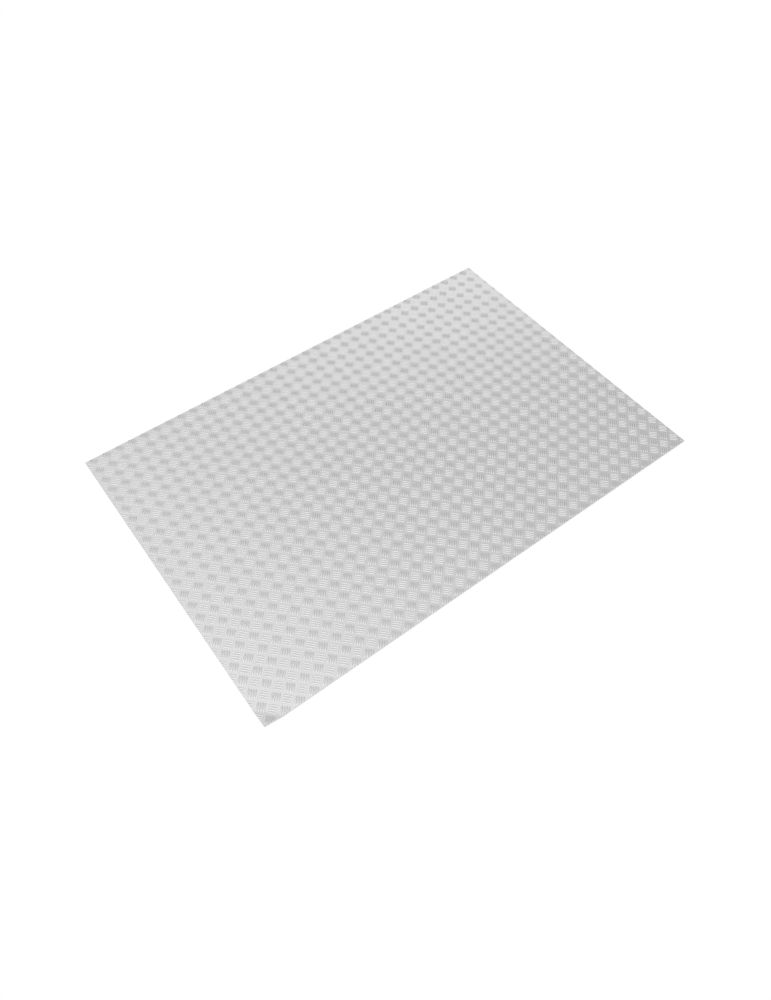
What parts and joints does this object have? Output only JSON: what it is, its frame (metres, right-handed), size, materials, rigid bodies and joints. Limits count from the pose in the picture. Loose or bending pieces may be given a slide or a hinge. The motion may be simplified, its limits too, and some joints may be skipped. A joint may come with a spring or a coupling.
{
  "type": "checker plate",
  "caption": "Rectangular sheet of bright rolled steel checker plate, with short raised bars in groups that alternate in direction for grip, and one corner bent up a little.",
  "frame": {"origin": "middle of the sheet's flat underside", "axes": "+X along the longer edges, +Z out of the patterned face"},
  "size_m": [1.25, 0.85, 0.0134],
  "materials": {
    "rolled_steel": "bright mill finish, rolled and unpainted"
  },
  "bodies": {
    "root": {"checker_plate": "rolled_steel"}
  },
  "joints": []
}
